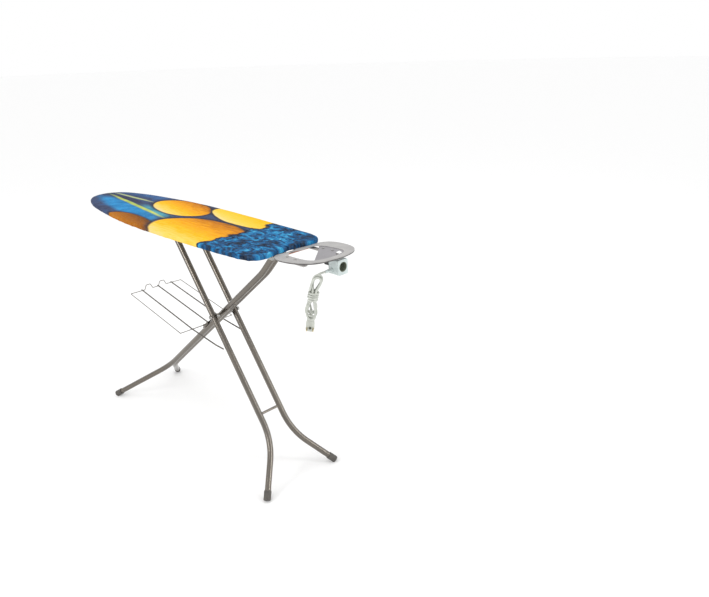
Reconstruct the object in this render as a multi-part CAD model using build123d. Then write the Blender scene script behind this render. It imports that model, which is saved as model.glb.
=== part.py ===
"""Ironing board with height-adjustable scissor legs, wire linen shelf, iron rest and mains outlet.

Millimetres, +Z up, board length along X with the nose at -X, floor at Z = 0.
Each function below returns one named piece; the list at the end writes them out.
"""
import math
import os

from build123d import *

os.makedirs("parts", exist_ok=True)

# ---- driving dimensions -------------------------------------------------------------
COVER_TOP = 850.0
COVER_BOTTOM = 831.0
COVER_T = 1.5
PANEL_Z = 841.0              # underside of the steel panel
PANEL_T = 1.0
PAD_T = 5.8
FRAME_ROD = 8.0              # rim rod under the panel

TUBE_OD = 21.0
TUBE_WALL = 1.5
ROUND_Y = 44.3               # half spacing of the front leg pair
TWIN_Y = 10.6                # half spacing of the touching rear pair

LEG_TOP_PIN = (-52.0, 815.0)     # rear legs hinge under the square end  (x, z)
SCISSOR = (-382.6, 527.7)        # scissor bolt
SLIDE_BAR = (-591.7, 815.0)      # bar at the top of the front legs
SHELF_AXIS = (-506.0, 449.7)     # wire that lies in the clip on the rear legs
SHELF_SLOPE = 0.1013             # rise per mm towards the nose

FOLD_RANGE = (-3.0, 33.0)        # degrees at the rear leg hinge
SCISSOR_RATIO = 2.42             # scissor degrees per fold degree

TO_CENTRE = 519.0                # moves the origin to the middle of the footprint

LEVER_AXIS = (-380.0, 824.0)
PIN = 8.0                        # bolt and hinge pin diameter
CORD_D = 6.5

# half outline of the cover, nose to square end: x, half width
HALF = [(-1208, 0), (-1196, 40), (-1160, 75), (-1090, 104), (-1000, 124), (-880, 142),
        (-760, 156), (-640, 162), (-500, 162.5), (-350, 160), (-200, 154), (-100, 148),
        (-40, 140), (-6, 124), (8, 100), (7, 72), (1, 38), (-3, 0)]


# ---- helpers ------------------------------------------------------------------------
def outline(inset):
    """Closed outline of the board, moved inwards by inset."""
    pts = HALF + [(x, -y) for x, y in HALF[-2:0:-1]]
    moved = []
    for i, (x, y) in enumerate(pts):
        (ax, ay), (bx, by) = pts[i - 1], pts[(i + 1) % len(pts)]
        tx, ty = bx - ax, by - ay
        n = math.hypot(tx, ty)
        moved.append((x + ty / n * inset, y - tx / n * inset))
    return moved


def slab(inset, z0, z1):
    face = make_face(Spline(*outline(inset), periodic=True))
    return Pos(0, 0, z0) * extrude(face, z1 - z0)


def rod(path, diameter):
    return sweep(Plane(origin=path @ 0, z_dir=path % 0) * Circle(diameter / 2), path=path)


def hollow(path, od, wall):
    return rod(path, od) - rod(path, od - 2 * wall)


def bar_y(x, z, diameter, y0, y1):
    """Round bar along Y."""
    return Pos(x, (y0 + y1) / 2, z) * Rot(90, 0, 0) * Cylinder(diameter / 2, y1 - y0)


def ring_y(x, z, od, bore, y0, y1):
    return bar_y(x, z, od, y0, y1) - bar_y(x, z, bore, y0 - 1, y1 + 1)


def block(x0, x1, y0, y1, z0, z1):
    return Pos((x0 + x1) / 2, (y0 + y1) / 2, (z0 + z1) / 2) * Box(x1 - x0, y1 - y0, z1 - z0)


def half_width(x):
    for (x0, y0), (x1, y1) in zip(HALF, HALF[1:]):
        if x0 <= x <= x1:
            return y0 + (y1 - y0) * (x - x0) / (x1 - x0)
    return 0.0


def both(make):
    """Group of the left (-Y) and right (+Y) copies of a piece."""
    return Compound(children=[make(-1), make(1)])


def turn(dx, dz, degrees):
    a = math.radians(degrees)
    return dx * math.cos(a) + dz * math.sin(a), -dx * math.sin(a) + dz * math.cos(a)


def slide_at(fold):
    """Place of the slide bar for a fold angle of the rear legs."""
    px, pz = turn(SCISSOR[0] - LEG_TOP_PIN[0], SCISSOR[1] - LEG_TOP_PIN[1], fold)
    qx, qz = turn(SLIDE_BAR[0] - SCISSOR[0], SLIDE_BAR[1] - SCISSOR[1],
                  fold - SCISSOR_RATIO * fold)
    return LEG_TOP_PIN[0] + px + qx, LEG_TOP_PIN[1] + pz + qz


# ---- board --------------------------------------------------------------------------
def cover():
    outer = slab(0, COVER_BOTTOM, COVER_TOP)
    outer = fillet(outer.edges().group_by(Axis.Z)[-1], 5)
    inner = slab(COVER_T, COVER_BOTTOM + COVER_T, COVER_TOP - COVER_T)
    opening = slab(26, COVER_BOTTOM - 1, COVER_BOTTOM + COVER_T + 1)
    return outer - inner - opening


def felt_pad():
    return slab(6, PANEL_Z + PANEL_T + 0.2, PANEL_Z + PANEL_T + 0.2 + PAD_T)


def board_panel():
    face = make_face(Spline(*outline(4), periodic=True))
    for i in range(31):
        x = -1160 + 37 * i
        rows = int((half_width(x) - 30) // 37)
        spots = [(x, 37 * j) for j in range(-rows, rows + 1)]
        face -= Sketch() + [Pos(*s) * Circle(6) for s in spots]
    return Pos(0, 0, PANEL_Z) * extrude(face, PANEL_T)


def edge_frame():
    z = PANEL_Z - FRAME_ROD / 2
    return rod(Spline(*[(x, y, z) for x, y in outline(7)], periodic=True), FRAME_ROD)


def cover_drawcord():
    return rod(Spline(*[(x, y, 833.9) for x, y in outline(22)], periodic=True), 2.0)


def cross_braces():
    out = []
    for x in (-105, -300, -500, -905, -1060):
        half = half_width(x - 12) - 16
        hat = block(x - 12, x + 12, -half, half, 835.5, PANEL_Z)
        out.append(hat - block(x - 10.5, x + 10.5, -half - 1, half + 1, 837, PANEL_Z + 1))
    return Compound(children=out)


# ---- rear (twin) legs ---------------------------------------------------------------
TWIN_FOOT = (-1061.0, 150.4, 7.6)
TWIN_BEND = (-818.0, TWIN_Y, 175.0)
ROUND_FOOT = (0.0, 157.0, 6.3)
ROUND_BEND = (-100.5, ROUND_Y, 140.0)
CAP_END = 3.0


def leg_end(bend, foot):
    """End point of the tube inside its foot cap, and the unit direction."""
    d = [f - b for f, b in zip(foot, bend)]
    n = math.sqrt(sum(v * v for v in d))
    d = [v / n for v in d]
    return tuple(f - CAP_END * v for f, v in zip(foot, d)), tuple(d)


def mirror_y(points, side):
    return [(x, side * y, z) for x, y, z in points]


def twin_path(side):
    end, _ = leg_end(TWIN_BEND, TWIN_FOOT)
    top = (LEG_TOP_PIN[0] + 6.1, TWIN_Y, LEG_TOP_PIN[1] + 6.6)
    return FilletPolyline(*mirror_y([top, (-120.5, TWIN_Y, 740), TWIN_BEND, end], side), radius=300)


def twin_leg(side):
    leg = hollow(twin_path(side), TUBE_OD, TUBE_WALL)
    leg -= bar_y(*LEG_TOP_PIN, PIN + 0.1, side * TWIN_Y - 15, side * TWIN_Y + 15)
    return leg - bar_y(*SCISSOR, PIN, side * TWIN_Y - 15, side * TWIN_Y + 15)


def foot_cap(bend, foot, side):
    _, d = leg_end(bend, foot)
    d = (d[0], side * d[1], d[2])
    at = (foot[0], side * foot[1], foot[2])
    cap = extrude(Plane(origin=at, z_dir=[-v for v in d]) * Circle(12.5), 31)
    cap = fillet(cap.edges().filter_by(GeomType.CIRCLE).sort_by(Axis.Z)[0], 1.5)
    start = tuple(a - CAP_END * v for a, v in zip(at, d))
    cap -= extrude(Plane(origin=start, z_dir=[-v for v in d]) * Circle(TUBE_OD / 2 + 0.05), 40)
    return cap - block(at[0] - 60, at[0] + 60, at[1] - 60, at[1] + 60, -40, 0)


def leg_bracket():
    x0, x1 = -92, -37
    base = block(x0, x1, -26, 26, PANEL_Z - 2, PANEL_Z)
    cheek = block(-72, x1, 24, 26, 803, PANEL_Z - 2)
    cheek = fillet(cheek.edges().filter_by(Axis.Y).group_by(Axis.Z)[0], 8)
    out = base + cheek + mirror(cheek, Plane.XZ)
    return out - bar_y(*LEG_TOP_PIN, PIN, -40, 40)


def bracket_pin():
    pin = bar_y(*LEG_TOP_PIN, PIN, -30, 28)
    return pin + bar_y(*LEG_TOP_PIN, 13, -29.5, -26.1) + bar_y(*LEG_TOP_PIN, 12, 26.1, 29)


def bracket_bushes():
    return both(lambda s: ring_y(*LEG_TOP_PIN, 16, PIN + 0.1, min(s * 21.4, s * 23.7),
                                 max(s * 21.4, s * 23.7)))


def shelf_clip():
    """Saddle on top of the rear legs, with two lugs for the shelf's cross wire."""
    ux, uz = 0.7771, 0.6294                      # up along the rear legs
    nx, nz = -uz, ux                             # out of their upper face
    foot_x = SHELF_AXIS[0] - 16.3 * nx
    foot_z = SHELF_AXIS[1] - 16.3 * nz
    plane = Plane(origin=(foot_x, 0, foot_z), x_dir=(ux, 0, uz), z_dir=(nx, 0, nz))
    clip = Pos(30, 0, 11.65) * Box(86, 30, 2) + Pos(30, 0, 11.65) * Box(40, 46.2, 2)
    for side in (-1, 1):
        clip += Pos(0, side * 13, 15.5) * Box(9, 2, 8)
        clip += Pos(30, side * 22.3, 8) * Box(40, 1.6, 9)
    clip -= [Pos(0, y, 16.3) * Rot(90, 0, 0) * Cylinder(1.55, 8) for y in (-13, 13)]
    return plane * clip


# ---- front (wide) legs --------------------------------------------------------------
def round_path(side):
    end, _ = leg_end(ROUND_BEND, ROUND_FOOT)
    top = (SLIDE_BAR[0] - 5.0, ROUND_Y, SLIDE_BAR[1] + 6.9)
    return FilletPolyline(*mirror_y([top, ROUND_BEND, end], side), radius=230)


def round_leg(side):
    leg = hollow(round_path(side), TUBE_OD, TUBE_WALL)
    leg -= bar_y(*SLIDE_BAR, PIN, side * ROUND_Y - 15, side * ROUND_Y + 15)
    return leg - bar_y(*SCISSOR, PIN + 0.1, side * ROUND_Y - 15, side * ROUND_Y + 15)


def crossbar():
    x, z = -158.7, 220.0
    bar = ring_y(x, z, 9, 6.6, -ROUND_Y, ROUND_Y)
    for s in (-1, 1):
        line = Line((x + 14.6, s * ROUND_Y, z - 20), (x - 14.6, s * ROUND_Y, z + 20))
        bar -= rod(line, TUBE_OD + 0.1)
    return bar.solids().sort_by(SortBy.VOLUME)[-1]


def slide_bar():
    return bar_y(*SLIDE_BAR, PIN, -69, 69)


def slide_bushes():
    def bush(s):
        lo, hi = sorted((s * 57.0, s * 63.0))
        fl0, fl1 = sorted((s * 62.8, s * 65.5))
        sleeve = ring_y(*SLIDE_BAR, 12, PIN, lo, hi)
        return sleeve + ring_y(*SLIDE_BAR, 18, PIN, fl0, fl1)
    return both(bush)


def slide_bar_caps():
    return both(lambda s: ring_y(*SLIDE_BAR, 13, PIN, *sorted((s * 65.7, s * 68.5))))


def pivot_bolt():
    bolt = bar_y(*SCISSOR, PIN, -57, 61)
    return bolt + bar_y(*SCISSOR, 15, -59.5, -56.6)


def pivot_washers():
    return both(lambda s: ring_y(*SCISSOR, 16, PIN, *sorted((s * 55.2, s * 56.5))))


def pivot_spacers():
    return both(lambda s: ring_y(*SCISSOR, 14, PIN, *sorted((s * 21.4, s * 33.5))))


def pivot_nut():
    plane = Plane(origin=(SCISSOR[0], 56.6, SCISSOR[1]), z_dir=(0, 1, 0))
    return extrude(plane * RegularPolygon(7.2, 6), 6.5) - bar_y(*SCISSOR, PIN, 50, 70)


# ---- height rack and its release lever ----------------------------------------------
SLOT_STEPS = [FOLD_RANGE[0] - 0.5 + i * (FOLD_RANGE[1] - FOLD_RANGE[0] + 1) / 14 for i in range(15)]


def slide_rail(side):
    """Slotted side plate: the slide bar runs along the slot as the legs close."""
    path = [slide_at(a) for a in SLOT_STEPS]
    low = [(x, z - 13.5) for x, z in path]
    left, right = path[-1][0] - 22, path[0][0] + 22
    body = [(right, PANEL_Z - 2), (right, low[0][1])] + low + [(left, low[-1][1]), (left, PANEL_Z - 2)]
    slot = [(x, z + 6.7) for x, z in path] + [(x, z - 6.7) for x, z in reversed(path)]
    face = make_face(Polyline(*body, close=True)) - make_face(Polyline(*slot, close=True))
    for end in (path[0], path[-1]):
        face -= Pos(*end) * Circle(6.7)
    plate = extrude(Plane(origin=(0, 0, 0), x_dir=(1, 0, 0), z_dir=(0, -1, 0)) * face, 2)
    plate = Pos(0, 61.9 if side > 0 else -59.9, 0) * plate
    lo, hi = sorted((side * 59.9, side * 74.0))
    return plate + block(left, right, lo, hi, PANEL_Z - 2, PANEL_Z)


def height_comb():
    """Notched plate: each notch holds the slide bar at one working height."""
    stops = [slide_at(a) for a in (-3, 0, 3, 6, 9)]
    plate = block(stops[-1][0] - 14, -534, -1.6, 1.6, 821.4, 828)
    for x, _ in stops:
        plate -= block(x - 4.4, x + 4.4, -5, 5, 820, 824.4)
    return plate


def lever_rod():
    z, gz = LEVER_AXIS[1], 821.0
    path = FilletPolyline((-533.8, 0, z), (-210, 0, z), (-150, 52, z), (-38, 52, z), (-18, 52, gz),
                          radius=12)
    return rod(path, 5) + bar_y(*LEVER_AXIS, 10, -3, 3) - bar_y(*LEVER_AXIS, 4.1, -4, 4)


def lever_grip():
    grip = bar_y(-18, 821, 9, -24, 116)
    grip = fillet(grip.edges(), 2)
    return grip - rod(FilletPolyline((-38, 52, 824), (-18, 52, 821), (-17, 52, 821), radius=0.1), 5.1)


def lever_bracket():
    x, z = LEVER_AXIS
    ears = block(x - 9, x + 9, -5.2, 5.2, z - 5, PANEL_Z)
    ears -= block(x - 10, x + 10, -3.6, 3.6, z - 6, PANEL_Z - 1.6)
    return ears - bar_y(x, z, 4, -8, 8)


def lever_pin():
    return bar_y(*LEVER_AXIS, 4, -7, 7) + bar_y(*LEVER_AXIS, 7, -8, -6.4)


def lever_spring():
    coil = Helix(pitch=3.2, height=12.8, radius=4)
    wire = sweep(Plane(origin=coil @ 0, z_dir=coil % 0) * Circle(0.5), path=coil)
    return Pos(-445, 0, 827.3) * wire


# ---- linen shelf --------------------------------------------------------------------
def on_shelf(x, y, lift=0.0):
    return (x, y, SHELF_AXIS[1] + (SHELF_AXIS[0] - x) * SHELF_SLOPE + lift)


def shelf_outer_wire():
    """Wire edge of the shelf, with two upward kinks at the nose end."""
    pts = [on_shelf(-507.6, -113), on_shelf(-918, -84)]
    for y in (-4, 58):
        pts += [on_shelf(-917, y - 18), on_shelf(-917, y - 9, 19), on_shelf(-917, y + 9, 19),
                on_shelf(-917, y + 18)]
    pts += [on_shelf(-914, 144), on_shelf(-507.6, 113)]
    return rod(FilletPolyline(*pts, radius=4), 3)


def shelf_cross_wire():
    return bar_y(*SHELF_AXIS, 3, -115, 115)


def shelf_long_wire(points):
    return rod(FilletPolyline(*[on_shelf(*p) for p in points], radius=12), 5)


def shelf_wire_left():
    return shelf_long_wire([(-917, -35, 4.1), (-500, -67, 4.1), (-350, -69, 3), (-318, -59, -4)])


def shelf_wire_middle():
    return rod(Line(on_shelf(-916, 37, 4.1), on_shelf(-500, 6, 4.1)), 5)


def shelf_wire_right():
    return shelf_long_wire([(-914, 97, 4.1), (-500, 66, 4.1), (-352, 68, 3), (-322, 59, -1)])


# ---- iron rest ----------------------------------------------------------------------
REST_TOP = 838.0
REST_T = 1.2
RIVETS = [(50, -42), (86, -42), (66, 88), (103, 91)]
REST_OUT = [(12, 20), (10, -36), (12, -56), (24, -69), (46, -76), (70, -75), (97, -69), (124, -56),
            (147, -37), (162, -10), (169, 25), (171, 62), (166, 102), (153, 134), (130, 154), (95, 162),
            (60, 160), (32, 149), (15, 126), (12, 70)]
REST_IN = [(26, 20), (26, -15), (39, -28), (64, -31), (99, -29), (130, -18), (146, 12), (150, 60),
           (142, 101), (126, 112), (94, 112), (58, 105), (35, 91), (27, 66)]
TRAY = [(22, 114), (36, 98), (56, 77), (82, 50), (112, 15), (134, -10), (148, -18), (158, 12),
        (158, 60), (150, 104), (132, 120), (92, 120), (54, 116)]


def rest_outline(inset):
    """Outer outline of the rest, moved inwards."""
    moved = []
    for i, (x, y) in enumerate(REST_OUT):
        (ax, ay), (bx, by) = REST_OUT[i - 1], REST_OUT[(i + 1) % len(REST_OUT)]
        n = math.hypot(bx - ax, by - ay)
        moved.append((x - (by - ay) / n * inset, y + (bx - ax) / n * inset))
    return make_face(Spline(*moved, periodic=True))


def rivet_holes():
    return [Pos(x, y, 831) * Cylinder(2.05, 30) for x, y in RIVETS]


def iron_rest():
    hole = make_face(Spline(*REST_IN, periodic=True))
    plate = Pos(0, 0, REST_TOP - REST_T) * extrude(rest_outline(0) - hole, REST_T)
    rim = Pos(0, 0, REST_TOP - 5) * extrude(rest_outline(0) - rest_outline(REST_T), 5)
    return plate + rim - rivet_holes()


def rest_tray():
    """Lower plate that closes one corner of the opening and carries the hot sole."""
    window = make_face(Polyline((134, 76), (146, 66), (139, 98), (118, 106), (120, 92), close=True))
    face = make_face(Polyline(*TRAY, close=True)) - window
    return Pos(0, 0, REST_TOP - REST_T - 1.2) * extrude(face, 1.2) - rivet_holes()


def rest_arms():
    left = block(-117, 132, -51, -36, 826, 830)
    right = block(-117, 132, 82, 97, 826, 830)
    feet = [block(-115, -95, y0, y1, 830, 835.5) for y0, y1 in ((-51, -36), (82, 97))]
    arms = [arm + foot - rivet_holes() for arm, foot in zip((left, right), feet)]
    return Compound(children=arms)


def rest_rivets():
    def rivet(x, y):
        top = REST_TOP if y < 0 else REST_TOP - REST_T
        return (Pos(x, y, top + 0.6) * Cylinder(4, 1.2) + Pos(x, y, (top + 824) / 2) * Cylinder(2, top - 824)
                + Pos(x, y, 825.2) * Cylinder(3.6, 1.6))
    return Compound(children=[rivet(*r) for r in RIVETS])


# ---- mains outlet, cord and plug ----------------------------------------------------
OUTLET = (120.0, 161.0, 58.0, 97.0, 776.0, 823.0)      # x0, x1, y0, y1, z0, z1
SOCKET_Y, SOCKET_Z, SOCKET_R = 77.5, 800.5, 15.5
GLAND = (131.0, 789.5)


def outlet_housing():
    x0, x1, y0, y1, z0, z1 = OUTLET
    box = fillet(block(*OUTLET).edges().filter_by(Axis.X), 4)
    box -= block(x0 + 2, x1 - 2.5, y0 + 1.5, y1 - 1.5, z0 + 1.5, z1 - 1.5)
    bore = Pos(x1, SOCKET_Y, SOCKET_Z) * Rot(0, 90, 0) * Cylinder(SOCKET_R, 8)
    return box - bore - bar_y(*GLAND, 10, y0 - 1, y0 + 4)


def outlet_insert():
    """Round recess the plug drops into, with two contact holes and earth notches."""
    x1 = OUTLET[1]
    cup = Pos(x1 - 14, SOCKET_Y, SOCKET_Z) * Rot(0, 90, 0) * Cylinder(SOCKET_R - 0.1, 28)
    cup -= Pos(x1 - 2.5, SOCKET_Y, SOCKET_Z) * Rot(0, 90, 0) * Cylinder(14.0, 30)
    for dy in (-9.5, 9.5):
        cup -= Pos(x1 - 24, SOCKET_Y + dy, SOCKET_Z) * Rot(0, 90, 0) * Cylinder(2.6, 16)
    return cup & block(x1 - 26.5, x1 - 0.2, 50, 110, 770, 830)


def outlet_bracket():
    wall = block(116.5, 119.8, 60, 96, 780, 826)
    flange = block(107.5, 119.8, 80, 96, 823, 826)
    gusset = block(98, 117, 60, 63, 800, 826)
    return wall + flange + gusset


def cable_gland():
    y0 = OUTLET[2]
    body = bar_y(*GLAND, 9.9, y0, y0 + 1.5) + bar_y(*GLAND, 14, y0 - 5, y0)
    nose = Pos(GLAND[0], y0 - 11, GLAND[1]) * Rot(90, 0, 0) * Cone(5.5, 4.2, 12)
    return body + nose - bar_y(*GLAND, CORD_D, y0 - 30, y0 + 10)


CORD_ROUTE = [(131, 41, 789.5), (130.5, 24, 790), (123, 17, 784)]


def cord_run():
    return rod(FilletPolyline(*CORD_ROUTE, radius=17), CORD_D)


HANK_TOP, HANK_LOW = (122.0, 16.5, 782.0), (95.0, -1.0, 651.0)


def cord_hank():
    """Outer shape of the coiled part of the cord."""
    d = Vector(*HANK_TOP) - Vector(*HANK_LOW)
    plane = Plane(origin=HANK_LOW, x_dir=(0.7, 0.7, 0), z_dir=d)
    waist = plane.offset(d.length * 0.55) * Ellipse(13, 12)
    ends = [plane * Ellipse(19, 10), plane.offset(d.length * 0.28) * Ellipse(22, 12), waist,
            plane.offset(d.length * 0.8) * Ellipse(20, 12), plane.offset(d.length) * Ellipse(13, 9)]
    return loft(ends)


PLUG = (91.0, -2.5, 623.0)


def plug_plane():
    return Plane(origin=PLUG, x_dir=(0.7, 0.7, 0), z_dir=(0.12, 0.04, 1))


def plug_body():
    flat = Pos(0, 0, 0) * Box(27, 20, 46)
    flat = fillet(flat.edges().filter_by(Axis.Y), 9)
    collar = Pos(0, 0, 24.5) * Cylinder(6, 5)
    return plug_plane() * (flat + collar)


def plug_pins():
    pins = [Pos(dx, -19.6, -10) * Rot(90, 0, 0) * Cylinder(2.4, 19) for dx in (-9.5, 9.5)]
    return Compound(children=[plug_plane() * p for p in pins])


PARTS = {
    "cover": cover, "felt_pad": felt_pad, "board_panel": board_panel, "edge_frame": edge_frame,
    "cover_drawcord": cover_drawcord, "cross_braces": cross_braces,
    "twin_leg_left": lambda: twin_leg(-1), "twin_leg_right": lambda: twin_leg(1),
    "twin_foot_left": lambda: foot_cap(TWIN_BEND, TWIN_FOOT, -1),
    "twin_foot_right": lambda: foot_cap(TWIN_BEND, TWIN_FOOT, 1),
    "leg_bracket": leg_bracket, "bracket_pin": bracket_pin, "bracket_bushes": bracket_bushes,
    "shelf_clip": shelf_clip,
    "round_leg_left": lambda: round_leg(-1), "round_leg_right": lambda: round_leg(1),
    "round_foot_left": lambda: foot_cap(ROUND_BEND, ROUND_FOOT, -1),
    "round_foot_right": lambda: foot_cap(ROUND_BEND, ROUND_FOOT, 1),
    "crossbar": crossbar, "slide_bar": slide_bar, "slide_bushes": slide_bushes,
    "slide_bar_caps": slide_bar_caps,
    "pivot_bolt": pivot_bolt, "pivot_washers": pivot_washers, "pivot_spacers": pivot_spacers,
    "pivot_nut": pivot_nut,
    "slide_rail_left": lambda: slide_rail(-1), "slide_rail_right": lambda: slide_rail(1),
    "height_comb": height_comb, "lever_rod": lever_rod,
    "lever_grip": lever_grip, "lever_bracket": lever_bracket, "lever_pin": lever_pin,
    "lever_spring": lever_spring,
    "shelf_outer_wire": shelf_outer_wire, "shelf_cross_wire": shelf_cross_wire,
    "shelf_wire_left": shelf_wire_left, "shelf_wire_middle": shelf_wire_middle,
    "shelf_wire_right": shelf_wire_right,
    "iron_rest": iron_rest, "rest_tray": rest_tray, "rest_arms": rest_arms,
    "rest_rivets": rest_rivets,
    "outlet_housing": outlet_housing, "outlet_insert": outlet_insert,
    "outlet_bracket": outlet_bracket, "cable_gland": cable_gland,
    "cord_run": cord_run, "cord_hank": cord_hank, "plug_body": plug_body, "plug_pins": plug_pins,
}

for node, make in PARTS.items():
    solids = [Pos(TO_CENTRE, 0, 0) * solid for solid in make().solids()]
    export_step(Compound(solids) if len(solids) > 1 else solids[0], f"parts/{node}.step")
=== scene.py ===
"""Looks of the ironing board: printed cotton cover, satin steel legs, wire linen shelf,
enamelled iron rest and the mains outlet with its hanked flex."""
import math

import bmesh
import bpy
from mathutils import Matrix, Vector, noise


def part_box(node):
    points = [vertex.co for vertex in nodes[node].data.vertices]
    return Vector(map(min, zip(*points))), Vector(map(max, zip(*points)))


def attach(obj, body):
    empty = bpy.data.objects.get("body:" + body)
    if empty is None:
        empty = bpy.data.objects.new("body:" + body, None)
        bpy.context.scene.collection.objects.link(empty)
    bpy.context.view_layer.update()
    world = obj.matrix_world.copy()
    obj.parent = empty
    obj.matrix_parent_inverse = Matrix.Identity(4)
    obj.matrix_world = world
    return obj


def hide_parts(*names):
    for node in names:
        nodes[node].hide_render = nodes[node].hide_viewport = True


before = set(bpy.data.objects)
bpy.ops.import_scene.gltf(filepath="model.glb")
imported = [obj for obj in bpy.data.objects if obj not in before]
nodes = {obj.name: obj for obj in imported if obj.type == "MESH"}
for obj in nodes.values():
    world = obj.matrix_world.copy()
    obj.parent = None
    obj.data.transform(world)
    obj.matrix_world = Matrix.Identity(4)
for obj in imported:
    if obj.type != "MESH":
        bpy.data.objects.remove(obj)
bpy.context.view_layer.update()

# ---- sizes shared by the pieces, in metres ------------------------------------------
COVER_LOW, COVER_HIGH = (corner.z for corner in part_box("cover"))
BOARD_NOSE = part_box("cover")[0].x
BOARD_LENGTH = 1.208                    # nose to the middle of the square end
BOARD_END = BOARD_NOSE + BOARD_LENGTH   # x of the outline's own origin
FLEX_D = 0.0065
FOCAL_MM = 33.79
FLOOR_RADIUS = 40
HEM_STEP = 0.011                        # two of these from the outline to the drawcord
# the cover's outline: x from the square end, half width; its two corners differ a little
LONG_SIDE = [(-1.196, 0.040), (-1.160, 0.075), (-1.090, 0.104), (-1.000, 0.124), (-0.880, 0.142),
             (-0.760, 0.156), (-0.640, 0.162), (-0.500, 0.1625), (-0.350, 0.160), (-0.200, 0.154)]
FAR_CORNER = [(-0.100, 0.151), (-0.040, 0.1465), (-0.008, 0.134), (0.0080, 0.112),
              (0.0095, 0.085), (0.0055, 0.055), (0.000, 0.028), (-0.003, 0)]
NEAR_CORNER = [(-0.100, 0.148), (-0.040, 0.140), (-0.006, 0.124), (0.008, 0.100), (0.007, 0.072),
               (0.001, 0.038)]


# ---- camera, lights, floor ----------------------------------------------------------
def camera():
    lens = bpy.data.cameras.new("camera")
    lens.lens, lens.sensor_width, lens.clip_end = FOCAL_MM, 36, 100
    eye = bpy.data.objects.new("camera", lens)
    bpy.context.scene.collection.objects.link(eye)
    eye.matrix_world = (Matrix.Translation((2.0319, -1.2155, 1.4321))
                        @ Matrix.Rotation(math.radians(45.33), 4, "Z")
                        @ Matrix.Rotation(math.radians(68.59), 4, "X")
                        @ Matrix.Rotation(math.radians(-1.72), 4, "Z"))
    bpy.context.scene.camera = eye


def softbox(name, at, aim, size, power):
    light = bpy.data.lights.new(name, "AREA")
    light.shape, light.size, light.size_y, light.energy = "RECTANGLE", *size, power
    lamp = bpy.data.objects.new(name, light)
    bpy.context.scene.collection.objects.link(lamp)
    lamp.location = at
    lamp.rotation_euler = (Vector(aim) - Vector(at)).to_track_quat("-Z", "Y").to_euler()


def studio():
    softbox("overhead", (0.1, -0.3, 3.4), (0, 0, 0.4), (1.2, 1.2), 14)
    softbox("front_left", (0.2, -3.0, 1.9), (0, 0, 0.55), (0.4, 1.6), 24)
    softbox("right", (3.0, 1.6, 1.9), (0, 0, 0.5), (0.4, 1.6), 20)
    world = bpy.data.worlds.new("studio")
    world.use_nodes = True
    world.node_tree.nodes["Background"].inputs["Color"].default_value = (1.0, 1.0, 1.0, 1)
    world.node_tree.nodes["Background"].inputs["Strength"].default_value = 1.0
    bpy.context.scene.world = world
    bpy.context.scene.view_settings.view_transform = "Standard"
    bm = bmesh.new()
    bmesh.ops.create_circle(bm, cap_ends=True, segments=64, radius=FLOOR_RADIUS)
    floor = piece("floor", bm, smooth=False)
    mat, tree, paper = material("pale_floor")
    paper.inputs["Base Color"].default_value = (0.98, 0.98, 0.98, 1)
    paper.inputs["Roughness"].default_value = 0.9
    paper.inputs["Specular IOR Level"].default_value = 0.1
    floor.data.materials.append(mat)


# ---- helpers for pieces -------------------------------------------------------------
def piece(name, bm, smooth=True):
    """A new object from a finished bmesh."""
    mesh = bpy.data.meshes.new(name)
    bm.to_mesh(mesh)
    bm.free()
    if smooth:
        mesh.shade_smooth()
    made = bpy.data.objects.new(name, mesh)
    bpy.context.scene.collection.objects.link(made)
    return made


def settle(made, mat, body):
    """Finish and body of a new piece."""
    made.data.materials.clear()
    made.data.materials.append(mat)
    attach(made, body)
    return made


def turned(name, profile, place):
    """Closed profile of (radius, height) points spun about the Z axis of place."""
    bm = bmesh.new()
    ring = [bm.verts.new((r, 0, h)) for r, h in profile]
    edges = [bm.edges.new((a, b)) for a, b in zip(ring, ring[1:])]
    bmesh.ops.spin(bm, geom=ring + edges, cent=(0, 0, 0), axis=(0, 0, 1),
                   angle=math.tau, steps=32, use_merge=True)
    bmesh.ops.remove_doubles(bm, verts=bm.verts, dist=1e-6)
    bmesh.ops.recalc_face_normals(bm, faces=bm.faces)
    bm.transform(place)
    return piece(name, bm)


def frame_at(origin, z, x):
    """Placement with its Z axis along z and its X axis towards x."""
    z = Vector(z).normalized()
    y = z.cross(Vector(x)).normalized()
    x = y.cross(z)
    return Matrix.Translation(origin) @ Matrix((x, y, z)).transposed().to_4x4()


def outline_face():
    """The cover's outline as one face, at floor height."""
    near = [(x, -y) for x, y in LONG_SIDE + NEAR_CORNER]
    points = [(-BOARD_LENGTH, 0)] + LONG_SIDE + FAR_CORNER + near[::-1]
    curve = bpy.data.curves.new("outline", "CURVE")
    curve.dimensions, curve.resolution_u = "3D", 20
    line = curve.splines.new("BEZIER")
    line.bezier_points.add(len(points) - 1)
    line.use_cyclic_u = True
    for knot, (x, y) in zip(line.bezier_points, points):
        knot.co = (x + BOARD_END, y, 0)
        knot.handle_left_type = knot.handle_right_type = "AUTO"
    holder = bpy.data.objects.new("outline", curve)
    mesh = bpy.data.meshes.new_from_object(holder)
    bm = bmesh.new()
    bm.from_mesh(mesh)
    bpy.data.objects.remove(holder)
    bpy.data.curves.remove(curve)
    bpy.data.meshes.remove(mesh)
    bmesh.ops.remove_doubles(bm, verts=bm.verts, dist=1e-5)
    bmesh.ops.contextual_create(bm, geom=bm.edges[:])
    face = bm.faces[0]
    if face.normal.z < 0:
        bmesh.ops.reverse_faces(bm, faces=[face])
    return bm


def step_in(bm, face, steps):
    """Insets a face again and again: (width of the step, how far it moves outwards)."""
    for width, rise in steps:
        bmesh.ops.inset_individual(bm, faces=[face], thickness=width, depth=rise,
                                   use_even_offset=True)
    return face


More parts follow.
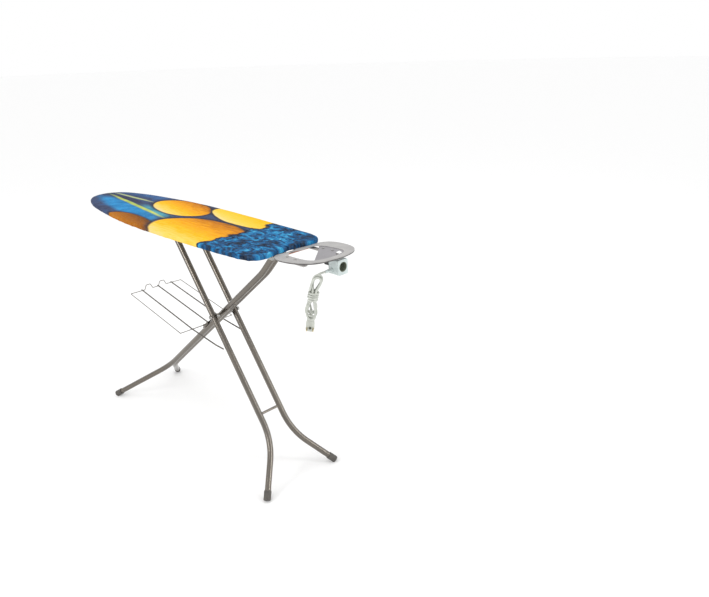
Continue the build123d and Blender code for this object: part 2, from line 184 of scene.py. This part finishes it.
def grid_cut(bm, level, pitch):
    """Cuts the flat faces at a level into squares."""
    low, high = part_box("cover")
    for axis, normal in ((0, Vector((1, 0, 0))), (1, Vector((0, 1, 0)))):
        at = low[axis] + pitch
        while at < high[axis] - pitch / 2:
            flat = [f for f in bm.faces if abs(f.calc_center_median().z - level) < 1e-4
                    and abs(f.normal.z) > 0.99]
            edges = {e for f in flat for e in f.edges}
            verts = {v for f in flat for v in f.verts}
            bmesh.ops.bisect_plane(bm, geom=[*flat, *edges, *verts], dist=1e-5,
                                   plane_co=normal * at, plane_no=normal)
            at += pitch


# ---- helpers for finishes -----------------------------------------------------------
def material(name):
    mat = bpy.data.materials.new(name)
    mat.use_nodes = True
    return mat, mat.node_tree, mat.node_tree.nodes["Principled BSDF"]


def add(tree, kind, inputs=(), **settings):
    made = tree.nodes.new(kind)
    for key, value in settings.items():
        setattr(made, key, value)
    for key, value in dict(inputs).items():
        if isinstance(value, bpy.types.NodeSocket):
            tree.links.new(value, made.inputs[key])
        else:
            made.inputs[key].default_value = value
    return made


def ink(code):
    """Colour of a six digit hex code, as linear light."""
    parts = [int(code[i:i + 2], 16) / 255 for i in (0, 2, 4)]
    return [c / 12.92 if c < 0.04045 else ((c + 0.055) / 1.055) ** 2.4 for c in parts] + [1]


def coords(tree):
    return add(tree, "ShaderNodeTexCoord").outputs["Object"]


def mapped(tree, vector, scale, kind="POINT", at=(0, 0, 0), turn=0.0):
    return add(tree, "ShaderNodeMapping", {"Vector": vector, "Location": at, "Scale": scale,
               "Rotation": (0, 0, turn)}, vector_type=kind).outputs["Vector"]


def mottle(tree, vector, scale, detail=3.0, distortion=0.0, rough=0.5):
    return add(tree, "ShaderNodeTexNoise", {"Vector": vector, "Scale": scale, "Detail": detail,
               "Distortion": distortion, "Roughness": rough}).outputs["Fac"]


def ramp(tree, fac, *stops):
    """Colours along a value: (position, hex code) in order."""
    made = add(tree, "ShaderNodeValToRGB", {"Fac": fac})
    row = made.color_ramp.elements
    row[0].position, row[0].color = stops[0][0], ink(stops[0][1])
    row[1].position, row[1].color = stops[-1][0], ink(stops[-1][1])
    for at, code in stops[1:-1]:
        row.new(at).color = ink(code)
    return made.outputs["Color"]


def between(tree, value, low, high, to_low=0.0, to_high=1.0, soft=False):
    """Value from low to high, moved to the range to_low to to_high."""
    return add(tree, "ShaderNodeMapRange", {"Value": value, "From Min": low, "From Max": high,
               "To Min": to_low, "To Max": to_high},
               interpolation_type="SMOOTHSTEP" if soft else "LINEAR").outputs["Result"]


def sums(tree, operation, a, b):
    return add(tree, "ShaderNodeMath", {0: a, 1: b}, operation=operation).outputs[0]


def over(tree, mask, below, above):
    made = add(tree, "ShaderNodeMix", data_type="RGBA")
    for key, value in ((0, mask), (6, below), (7, above)):
        if isinstance(value, bpy.types.NodeSocket):
            tree.links.new(value, made.inputs[key])
        else:
            made.inputs[key].default_value = value
    return made.outputs[2]


def relief(tree, shader, height, distance, strength=1.0, below=None):
    inputs = {"Height": height, "Distance": distance, "Strength": strength}
    if below:
        inputs["Normal"] = below
    bump = add(tree, "ShaderNodeBump", inputs).outputs["Normal"]
    tree.links.new(bump, shader.inputs["Normal"])
    return bump


def weave(tree, place, pitch):
    """Height of a plain weave with that thread pitch."""
    waves = [add(tree, "ShaderNodeTexWave", {"Vector": place, "Scale": 0.157 / pitch,
                 "Distortion": 0.6, "Detail": 1.0}, bands_direction=way).outputs["Fac"]
             for way in "XY"]
    return sums(tree, "MULTIPLY", *waves)


# ---- finishes -----------------------------------------------------------------------
def plain(name, tones, rough, metal=0.0, grain=30.0, stretch=(1, 1, 1), dent=0.00004, coat=0.0):
    """A finish whose tone, roughness and surface wander a little."""
    mat, tree, shader = material(name)
    place = mapped(tree, coords(tree), stretch)
    spots = mottle(tree, place, grain, 4.0)
    fine = mottle(tree, place, grain * 14, 2.0)
    tree.links.new(ramp(tree, spots, (0.3, tones[0]), (0.7, tones[1])), shader.inputs["Base Color"])
    both = sums(tree, "ADD", sums(tree, "MULTIPLY", spots, 0.6), sums(tree, "MULTIPLY", fine, 0.4))
    tree.links.new(between(tree, both, 0.3, 0.7, *rough), shader.inputs["Roughness"])
    shader.inputs["Metallic"].default_value = metal
    shader.inputs["Coat Weight"].default_value = coat
    relief(tree, shader, fine, dent, 0.5)
    return mat


def enamel_painted_rim_shade():
    """Light grey enamel of the iron rest, with painted shade darkening it towards its turned-down
    lower edge.
    """
    mat, tree, shader = material("rest_enamel")
    place = coords(tree)
    spots, fine = mottle(tree, place, 34, 4.0), mottle(tree, place, 420, 2.0)
    tone = ramp(tree, spots, (0.3, "939190"), (0.7, "a19f9d"))
    height = add(tree, "ShaderNodeSeparateXYZ", {0: place}).outputs["Z"]
    low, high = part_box("iron_rest")
    # painted shade: below the top of the rest the enamel turns dark grey (4d4a49), standing in for
    # the shade along its lower edge
    edge = between(tree, sums(tree, "ADD", height, between(tree, spots, 0.3, 0.7, -0.0005, 0.0005)),
                   high.z - 0.0008, high.z - 0.0030, 0, 1, True)
    tree.links.new(over(tree, edge, tone, ink("4d4a49")), shader.inputs["Base Color"])
    tree.links.new(between(tree, fine, 0.3, 0.7, 0.32, 0.46), shader.inputs["Roughness"])
    shader.inputs["Coat Weight"].default_value = 0.2
    relief(tree, shader, fine, 0.00004, 0.5)
    return mat


def stone_patch(tree, place, below, at, half, turn, tones, edge="2c2a33"):
    """One smooth rounded shape of the print, with its shaded rim, laid over what is below."""
    inside = mapped(tree, place, (*half, 9.0), "TEXTURE", (*at, 0), turn)
    reach = add(tree, "ShaderNodeVectorMath", {0: inside}, operation="LENGTH").outputs["Value"]
    across = add(tree, "ShaderNodeSeparateXYZ", {0: inside}).outputs["Y"]
    streaks = mottle(tree, mapped(tree, inside, (1.6, 7.0, 1)), 2.2, 4.0, 0.4)
    along = add(tree, "ShaderNodeSeparateXYZ", {0: inside}).outputs["X"]
    shade = sums(tree, "ADD", between(tree, across, -1, 1, 0.0, 0.86),
                 between(tree, streaks, 0.2, 0.8, -0.16, 0.16))
    shade = sums(tree, "ADD", shade, between(tree, along, -1, 1, -0.08, 0.16))
    below = over(tree, between(tree, reach, 1.16, 1.0, 0, 0.85, True), below, ink(edge))
    return over(tree, between(tree, reach, 1.01, 0.95, 0, 1, True), below,
                ramp(tree, shade, *tones))


def printed_cotton():
    """Calico printed with golden buds over deep blue water."""
    mat, tree, cloth = material("printed_cotton")
    raw = coords(tree)
    flat = mapped(tree, raw, (1, 1, 0.0), at=(-BOARD_END, 0, 0))
    drift = add(tree, "ShaderNodeTexNoise", {"Vector": flat, "Scale": 7.0, "Detail": 3.0})
    pull = add(tree, "ShaderNodeVectorMath", {0: drift.outputs["Color"], 1: (0.5, 0.5, 0.5)},
               operation="SUBTRACT").outputs[0]
    pull = add(tree, "ShaderNodeVectorMath", {0: pull, 1: (0.022, 0.010, 0)},
               operation="MULTIPLY").outputs[0]
    place = add(tree, "ShaderNodeVectorMath", {0: flat, 1: pull}, operation="ADD").outputs[0]
    blot = mottle(tree, flat, 16, 5.0, 0.6)
    colour = ramp(tree, blot, (0.32, "2a3350"), (0.5, "3a4562"), (0.7, "33507c"))

    def blade(colour, at, half, turn, tone, soft=0.6, strength=1.0):
        inside = mapped(tree, place, (*half, 9.0), "TEXTURE", (*at, 0), turn)
        reach = add(tree, "ShaderNodeVectorMath", {0: inside}, operation="LENGTH").outputs["Value"]
        mask = between(tree, reach, 1.0, soft, 0, strength, True)
        return over(tree, mask, colour, ramp(tree, blot, (0.3, tone[0]), (0.7, tone[1])))

    colour = blade(colour, (-1.02, 0.105), (0.22, 0.045), 0.10, ("2f4c78", "3d6698"), 0.4, 0.9)
    colour = blade(colour, (-0.88, -0.062), (0.36, 0.052), -0.13, ("17689f", "3093cc"), 0.5)
    colour = blade(colour, (-0.74, -0.020), (0.17, 0.036), -0.16, ("236f94", "5aa3ae"), 0.4, 0.9)
    colour = blade(colour, (-1.02, 0.018), (0.16, 0.021), -0.05, ("2b2f45", "353b55"), 0.5)
    colour = blade(colour, (-1.03, 0.047), (0.21, 0.0095), 0.035, ("98a57a", "bcc48a"), 0.3)
    colour = blade(colour, (-0.89, -0.018), (0.36, 0.0115), -0.125, ("8fa858", "c3c95e"), 0.4)
    bud = ((0.02, "e6c98c"), (0.16, "efc85c"), (0.34, "f2b416"), (0.6, "e0960a"), (0.82, "bb700c"),
           (1.0, "6f4718"))
    pale_bud = ((0.0, "e9cf86"), (0.25, "efc548"), (0.6, "f0b812"), (0.9, "dda40f"),
                (1.0, "b98412"))
    dark_bud = ((0.0, "b97f18"), (0.35, "ac6810"), (0.7, "8c500c"), (1.0, "4a301c"))
    colour = stone_patch(tree, place, colour, (-0.685, -0.160), (0.185, 0.062), -0.12, dark_bud)
    colour = stone_patch(tree, place, colour, (-0.705, 0.072), (0.168, 0.083), -0.04, bud)
    colour = stone_patch(tree, place, colour, (-0.385, 0.128), (0.200, 0.070), -0.10, pale_bud)
    colour = stone_patch(tree, place, colour, (-0.385, -0.072), (0.225, 0.118), 0.05, bud)

    # ruffled water, its edge torn where it meets the buds
    slant = mapped(tree, flat, (42, 74, 1), turn=0.55)
    ripple = mottle(tree, slant, 0.55, 7.0, 1.1, 0.62)
    broad = mottle(tree, flat, 9, 3.0)
    light = sums(tree, "ADD", sums(tree, "MULTIPLY", ripple, 0.7),
                 sums(tree, "MULTIPLY", broad, 0.3))
    water = ramp(tree, light, (0.38, "0d1a2c"), (0.45, "11304e"), (0.50, "124b78"),
                 (0.55, "176a9f"), (0.61, "3497c4"), (0.69, "7cc3dc"))
    along = add(tree, "ShaderNodeSeparateXYZ", {0: flat}).outputs["X"]
    ragged = between(tree, mottle(tree, flat, 17, 5.0), 0.25, 0.75, -0.035, 0.035)
    shore = sums(tree, "ADD", along, ragged)
    colour = over(tree, between(tree, shore, -0.252, -0.240, 0, 1, True), colour, ink("141d30"))
    colour = over(tree, between(tree, shore, -0.240, -0.226, 0, 1, True), colour, water)

    fade = mottle(tree, raw, 120, 2.0)
    colour = over(tree, between(tree, fade, 0.35, 0.75, 0.0, 0.05), colour, ink("e6e2d6"))
    tree.links.new(colour, cloth.inputs["Base Color"])
    tree.links.new(between(tree, fade, 0.3, 0.7, 0.78, 0.92), cloth.inputs["Roughness"])
    cloth.inputs["Specular IOR Level"].default_value = 0.06
    creases = relief(tree, cloth, mottle(tree, raw, 11, 2.5, 0.8), 0.004, 0.35)
    relief(tree, cloth, weave(tree, raw, 0.0009), 0.00018, 0.5, creases)
    return mat


def needle_felt():
    mat, tree, felt = material("needle_felt")
    place = coords(tree)
    fibres = mottle(tree, place, 900, 5.0, 1.5)
    clouds = mottle(tree, place, 22, 3.0)
    tone = ramp(tree, sums(tree, "ADD", sums(tree, "MULTIPLY", fibres, 0.6),
                           sums(tree, "MULTIPLY", clouds, 0.4)),
                (0.3, "b9b2a2"), (0.5, "d3ccbc"), (0.7, "e6e0d2"))
    tree.links.new(tone, felt.inputs["Base Color"])
    felt.inputs["Roughness"].default_value = 0.95
    felt.inputs["Sheen Weight"].default_value = 0.3
    relief(tree, felt, fibres, 0.0006, 0.8)
    return mat


def braided_elastic():
    mat, tree, cord = material("braided_elastic")
    place = coords(tree)
    tree.links.new(ramp(tree, mottle(tree, place, 400, 2.0), (0.3, "c9c5ba"), (0.7, "ece9e0")),
                   cord.inputs["Base Color"])
    cord.inputs["Roughness"].default_value = 0.8
    relief(tree, cord, weave(tree, mapped(tree, place, (1, 1, 1), turn=0.8), 0.0007), 0.0002, 0.8)
    return mat


# ---- cover, pad and drawcord --------------------------------------------------------
def cover():
    """One cloth shell: flat top, rolled edge, and the skirt gathered under onto its hem."""
    bm = outline_face()
    middle = COVER_LOW + 0.009
    bmesh.ops.translate(bm, verts=bm.verts, vec=(0, 0, middle))
    top = bm.faces[0]
    made = bmesh.ops.extrude_face_region(bm, geom=[top])
    under = top
    top = next(g for g in made["geom"] if isinstance(g, bmesh.types.BMFace))
    bmesh.ops.translate(bm, verts=top.verts, vec=(0, 0, 0.0015))
    if under.normal.z > 0:
        bmesh.ops.reverse_faces(bm, faces=[under])
    step_in(bm, top, [(0.0002, 0.0024), (0.0012, 0.0028), (0.0024, 0.0016), (0.0040, 0.0006),
                      (0.0060, 0.0002)])
    level = top.calc_center_median().z
    step_in(bm, under, [(0.0002, 0.0022), (0.0006, 0.0020), (0.0014, 0.0016), (0.0028, 0.0014),
                        (0.0050, 0.0002), (0.0050, 0.0000), (0.0040, 0.0002), (0.0030, 0.0005),
                        (0.0022, -0.0003), (0.0014, -0.0010), (0.0004, -0.0012)])
    bmesh.ops.delete(bm, geom=[under], context="FACES_ONLY")
    grid_cut(bm, level, 0.022)
    bmesh.ops.recalc_face_normals(bm, faces=bm.faces)
    bm.normal_update()
    for v in bm.verts:
        x, y, z = v.co
        low = min(1.0, max(0.0, (COVER_HIGH - 0.006 - z) / 0.010))
        gather = noise.noise(Vector((x * 58, y * 58, 3.1))) + 0.5 * noise.noise(
            Vector((x * 120, y * 120, 8.4)))
        swell = noise.noise(Vector((x * 11, y * 13, 0.7)))
        v.co += v.normal * gather * low * 0.0011
        if z > COVER_HIGH - 0.004:
            v.co.z += swell * 0.0007
    made = piece("cotton_cover", bm)
    skin = made.modifiers.new("cloth_thickness", "SOLIDIFY")
    skin.thickness, skin.offset = 0.0008, -1
    settle(made, printed_cotton(), "board")
    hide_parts("cover")
    return made


def underlay():
    """Felt laid on the steel panel, its edge softly rounded and its top slightly crowned."""
    low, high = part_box("felt_pad")
    bm = outline_face()
    bmesh.ops.translate(bm, verts=bm.verts, vec=(0, 0, low.z))
    sole = step_in(bm, bm.faces[0], [(0.006, 0)])
    bmesh.ops.delete(bm, geom=[f for f in bm.faces if f != sole], context="FACES")
    made = bmesh.ops.extrude_face_region(bm, geom=[sole])
    if sole.normal.z > 0:
        bmesh.ops.reverse_faces(bm, faces=[sole])
    top = next(g for g in made["geom"] if isinstance(g, bmesh.types.BMFace))
    bmesh.ops.translate(bm, verts=top.verts, vec=(0, 0, (high.z - low.z) * 0.45))
    rise = (high.z - low.z) * 0.55
    step_in(bm, top, [(0.0008, rise * 0.5), (0.0016, rise * 0.3), (0.003, rise * 0.14),
                      (0.006, rise * 0.04)])
    grid_cut(bm, top.calc_center_median().z, 0.04)
    bmesh.ops.recalc_face_normals(bm, faces=bm.faces)
    for v in bm.verts:
        if v.co.z > high.z - 0.001:
            v.co.z += 0.00025 * noise.noise(v.co * 20)
    made = settle(piece("felt_underlay", bm), needle_felt(), "board")
    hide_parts("felt_pad")
    return made


def drawcord():
    """Elastic in the hem, found by stepping in from the outline."""
    level = (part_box("cover_drawcord")[0].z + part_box("cover_drawcord")[1].z) / 2
    bm = outline_face()
    inner = step_in(bm, bm.faces[0], [(HEM_STEP, 0), (HEM_STEP, 0)])
    run = [v.co.copy() for v in inner.verts]
    bm.free()
    curve = bpy.data.curves.new("hem_elastic", "CURVE")
    curve.dimensions, curve.bevel_depth, curve.bevel_resolution = "3D", 0.0011, 3
    curve.resolution_u = 1
    line = curve.splines.new("POLY")
    line.points.add(len(run) - 1)
    line.use_cyclic_u = True
    for knot, at in zip(line.points, run):
        knot.co = (at.x, at.y, level, 1)
    made = bpy.data.objects.new("hem_elastic", curve)
    bpy.context.scene.collection.objects.link(made)
    settle(made, braided_elastic(), "board")
    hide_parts("cover_drawcord")
    return made


# ---- flex, gland and plug -----------------------------------------------------------
GLAND = Vector((0.650, 0.041, 0.7895))
HANK_TOP, HANK_LOW = Vector((0.641, 0.0165, 0.782)), Vector((0.614, -0.001, 0.651))
PLUG_AT = Vector((0.610, -0.0025, 0.623))
PLUG_UP = Vector((0.12, 0.04, 1.0)).normalized()

# one turn of the hank: height from its waist (1 is the top bight), side, opening of the loop
HALF_TURN = [(1.00, 0.00), (0.96, 0.60), (0.85, 0.95), (0.68, 1.00), (0.50, 0.76), (0.33, 0.36),
             (0.16, 0.06), (0.00, 0.00), (-0.18, 0.05), (-0.34, 0.36), (-0.52, 0.82),
             (-0.72, 1.04), (-0.89, 0.90), (-0.98, 0.50)]
# each turn: layer at the waist, layer at the low end, sideways shift, lean, size, top, bottom
TURNS = [(-0.0081, -0.0150, -0.002, -0.35, 1.00, 0.000, 0.004),
         (-0.0027, -0.0096, 0.002, -0.10, 0.86, -0.006, 0.002),
         (0.0027, 0.0096, -0.002, 0.16, 1.08, 0.003, 0.001),
         (0.0081, 0.0150, 0.002, 0.40, 0.94, -0.003, -0.008)]


def hank_route():
    """Control points of the flex from the gland through the hank to the plug."""
    middle, half = (HANK_TOP + HANK_LOW) / 2, (HANK_TOP - HANK_LOW).length / 2
    up = (HANK_TOP - HANK_LOW).normalized()
    front = up.cross(Vector((0.7, 0.7, 0))).normalized() * -1
    side = front.cross(up) * -1

    def at(height, sideways, depth):
        bow = 0.006 * max(0.0, 1 - (height / half) ** 2)
        return middle + up * height + side * (sideways - bow) + front * depth

    route = [GLAND + Vector((0, 0.006, 0)), GLAND, Vector((0.6500, 0.034, 0.7898)),
             Vector((0.6492, 0.0265, 0.7896)), Vector((0.6455, 0.0195, 0.7885)),
             Vector((0.6390, 0.0150, 0.7855))]
    for number, turn in enumerate(TURNS):
        after = TURNS[min(number + 1, len(TURNS) - 1)]
        for hand in (-1, 1):
            shape = HALF_TURN if hand < 0 else [(-1.0, 0.0)] + HALF_TURN[:0:-1]
            for h, opening in shape:
                if number == 0 and hand < 0 and h > 0.9:
                    continue
                to_next = max(0.0, h) if hand > 0 else 0.0
                waist, low, shift, lean, size, top, bottom = (
                    a + (b - a) * to_next for a, b in zip(turn, after))
                hold = max(0.0, 1 - (h / 0.42) ** 2)
                wide = (0.0138 if h > 0 else 0.0168) * size * opening * hand
                layer = waist * (1.1 if h > 0 else 1) + (low - waist) * min(1, max(0, -h / 0.6))
                rise = h * half + (top if h > 0 else -bottom) * h
                route.append(at(rise, (hand * 0.0034 + shift) * hold + wide * math.cos(lean),
                                layer + wide * math.sin(lean)))
    route += [at(half * 0.955, -0.001, 0.0098), at(half * 0.92, -0.0082, 0.0115),
              at(half * 0.82, -0.0135, 0.0132), at(half * 0.64, -0.0155, 0.0145),
              at(half * 0.42, -0.0140, 0.0128)]
    wraps, steps = 4, 14
    for i in range(wraps * steps + 1):
        angle = math.pi * 0.8 + math.tau * i / steps
        wide = 1 + 0.05 * math.sin(i * 0.9)
        route.append(at(0.0145 - 0.0290 * i / (wraps * steps), 0.0145 * wide * math.cos(angle),
                        0.0154 * wide * math.sin(angle)))
    route += [at(-0.0170, -0.0138, 0.0026), at(-0.0220, -0.0122, -0.0030),
              at(-0.0285, -0.0082, -0.0050), at(-0.0360, -0.0035, -0.0028)]
    route += [PLUG_AT + PLUG_UP * s for s in (0.052, 0.040, 0.028, 0.018)]
    # the rubber evens out any sharp turn
    route[3:-3] = [(a + b * 2 + c) / 4 for a, b, c in zip(route[2:], route[3:-3], route[4:])]
    return route


def flex():
    curve = bpy.data.curves.new("mains_flex", "CURVE")
    curve.dimensions, curve.resolution_u = "3D", 6
    curve.bevel_depth, curve.bevel_resolution, curve.use_fill_caps = FLEX_D / 2, 5, True
    line = curve.splines.new("NURBS")
    route = hank_route()
    line.points.add(len(route) - 1)
    for knot, at in zip(line.points, route):
        knot.co = (*at, 1)
    line.order_u, line.use_endpoint_u = 3, True
    made = bpy.data.objects.new("mains_flex", curve)
    bpy.context.scene.collection.objects.link(made)
    settle(made, flex_rubber, "board")
    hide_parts("cord_run", "cord_hank")
    return made


def gland():
    """Clamp nut on the outlet's side and the tapered, ringed sleeve that guards the flex."""
    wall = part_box("outlet_housing")[0].y
    place = frame_at((GLAND.x, wall, GLAND.z), (0, -1, 0), (1, 0, 0))
    sleeve = [(0.00330, -0.0015), (0.0048, -0.0015), (0.0048, 0.0), (0.0068, 0.0003),
              (0.0072, 0.0012), (0.0072, 0.0042), (0.0066, 0.0050), (0.0058, 0.0052)]
    for i in range(6):
        h, r = 0.0060 + i * 0.0034, 0.0056 - i * 0.00024
        sleeve += [(r - 0.0007, h), (r, h + 0.0006), (r, h + 0.0020), (r - 0.0007, h + 0.0026)]
    sleeve += [(0.0036, 0.0270), (0.00332, 0.0268), (0.00330, -0.0015)]
    made = settle(turned("flex_gland", sleeve, place), outlet_white, "board")
    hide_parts("cable_gland")
    return made


def plug():
    """Moulded plug: waisted body with finger ridges, earth socket and a ringed sleeve."""
    place = frame_at(PLUG_AT, PLUG_UP, (0.7, 0.7, 0))
    bm = bmesh.new()
    bmesh.ops.create_cube(bm, size=1)
    bmesh.ops.scale(bm, verts=bm.verts, vec=(0.027, 0.020, 0.046))
    corners = [e for e in bm.edges if abs(e.verts[0].co.y - e.verts[1].co.y) > 0.01]
    bmesh.ops.bevel(bm, geom=corners, offset=0.0095, offset_type="OFFSET", segments=7,
                    profile=0.5, affect="EDGES", material=-1)
    rims = [e for e in bm.edges if abs(e.verts[0].co.y - e.verts[1].co.y) < 1e-6
            and len(e.link_faces) == 2]
    bmesh.ops.bevel(bm, geom=rims, offset=0.0022, offset_type="OFFSET", segments=3,
                    profile=0.5, affect="EDGES", material=-1)
    for cut in (-0.012, 0.0, 0.004, 0.008, 0.012, 0.016):
        bmesh.ops.bisect_plane(bm, geom=[*bm.verts, *bm.edges, *bm.faces], dist=1e-6,
                               plane_co=(0, 0, cut), plane_no=(0, 0, 1))
    for v in bm.verts:
        neck = max(0.0, min(1.0, (v.co.z - 0.0) / 0.016))
        v.co.x *= 1 - 0.20 * neck
        v.co.y *= 1 - 0.16 * neck
        if 0.003 < v.co.z < 0.017 and round(v.co.z * 250) % 2:
            v.co.x *= 0.95
    bm.transform(place)
    body = settle(piece("mains_plug", bm), flex_rubber, "board")
    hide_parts("plug_body")
    sleeve = [(0.00330, 0.019), (0.0060, 0.019), (0.0062, 0.0245)]
    for i in range(6):
        h, r = 0.0250 + i * 0.0040, 0.0058 - i * 0.0003
        sleeve += [(r - 0.0008, h), (r, h + 0.0006), (r, h + 0.0026), (r - 0.0008, h + 0.0032)]
    sleeve += [(0.0037, 0.0492), (0.0033, 0.0490), (0.00330, 0.019)]
    guard = settle(turned("plug_sleeve", sleeve, place), flex_rubber, "board")
    face = frame_at(place @ Vector((0, -0.0098, -0.010)), place.to_3x3() @ Vector((0, -1, 0)),
                    place.to_3x3() @ Vector((1, 0, 0)))
    cup = [(0.0, 0.0002), (0.0026, 0.0002), (0.0030, 0.0012), (0.0042, 0.0012), (0.0046, 0.0004),
           (0.0046, -0.002), (0.0, -0.002)]
    earth = settle(turned("plug_earth_cup", cup, face), dark_socket, "board")
    return [body, guard, earth, "plug_pins"]


# ---- put together -------------------------------------------------------------------
camera()
studio()

flex_rubber = plain("flex_rubber", ("aeb1a9", "c9ccc4"), (0.38, 0.52), grain=60, dent=0.0001)
outlet_white = plain("outlet_white", ("b9c4c3", "ccd6d4"), (0.28, 0.40), grain=40)
dark_socket = plain("dark_socket", ("3c4138", "565d50"), (0.35, 0.5), grain=80)

with_flex = plug()
gland()
flex()
underlay()
cover()
drawcord()

FINISHES = {
    plain("satin_leg_steel", ("6f6a64", "777169"), (0.20, 0.23), 0.95, 14, (1, 1, 0.3),
          dent=0.000002): (
        "twin_leg_left", "twin_leg_right", "round_leg_left", "round_leg_right", "crossbar",
        "slide_bar", "shelf_clip"),
    plain("bright_zinc", ("8e8d8a", "aeada9"), (0.22, 0.42), 0.95, 90): (
        "pivot_bolt", "pivot_nut", "pivot_washers", "bracket_pin", "lever_pin", "lever_spring",
        "lever_rod", "height_comb", "rest_rivets", "pivot_spacers"),
    plain("shelf_wire_zinc", ("6f6a64", "8a857e"), (0.28, 0.45), 0.85, 120): (
        "shelf_outer_wire", "shelf_cross_wire"),
    plain("shelf_rod_zinc", ("57524d", "706b65"), (0.30, 0.45), 0.8, 120): (
        "shelf_wire_left", "shelf_wire_middle", "shelf_wire_right"),
    plain("board_enamel", ("a9a9a6", "b9b9b5"), (0.35, 0.5), 0.1, 50): (
        "board_panel", "edge_frame", "cross_braces", "leg_bracket", "slide_rail_left",
        "slide_rail_right", "lever_bracket"),
    # iron rest: enamel with painted shade along its lower edge
    enamel_painted_rim_shade(): ("iron_rest",),
    plain("arm_enamel", ("969290", "a5a19e"), (0.30, 0.45), 0.0, 34, coat=0.2): ("rest_arms",),
    # painted shade: the tray's enamel is set darker than the rest's, for the shade on the recessed
    # plate
    plain("tray_enamel_painted_shade", ("757276", "848185"), (0.32, 0.48), 0.0, 34, coat=0.2): ("rest_tray",),
    plain("bracket_black", ("1d1e1e", "2c2d2d"), (0.35, 0.55), 0.1, 60): ("outlet_bracket",),
    outlet_white: ("outlet_housing",),
    # painted shade: the socket insert is given a dark grey-green for the shade in the socket recess
    plain("socket_painted_shade", ("6a7263", "7f8778"), (0.35, 0.5), 0.0, 60): ("outlet_insert",),
    plain("foot_plastic", ("46433f", "59554f"), (0.45, 0.62), 0.0, 70, dent=0.0002): (
        "twin_foot_left", "twin_foot_right", "round_foot_left", "round_foot_right",
        "slide_bar_caps"),
    plain("bush_nylon", ("26272a", "36373b"), (0.4, 0.55), 0.0, 70): (
        "bracket_bushes", "slide_bushes"),
    plain("grip_plastic", ("9c5f48", "b57a5c"), (0.38, 0.52), 0.0, 60): ("lever_grip",),
    plain("pin_brass", ("b9ab86", "cfc3a2"), (0.18, 0.32), 1.0, 140): ("plug_pins",),
}
for finish, names in FINISHES.items():
    for name in names:
        nodes[name].data.materials.clear()
        nodes[name].data.materials.append(finish)
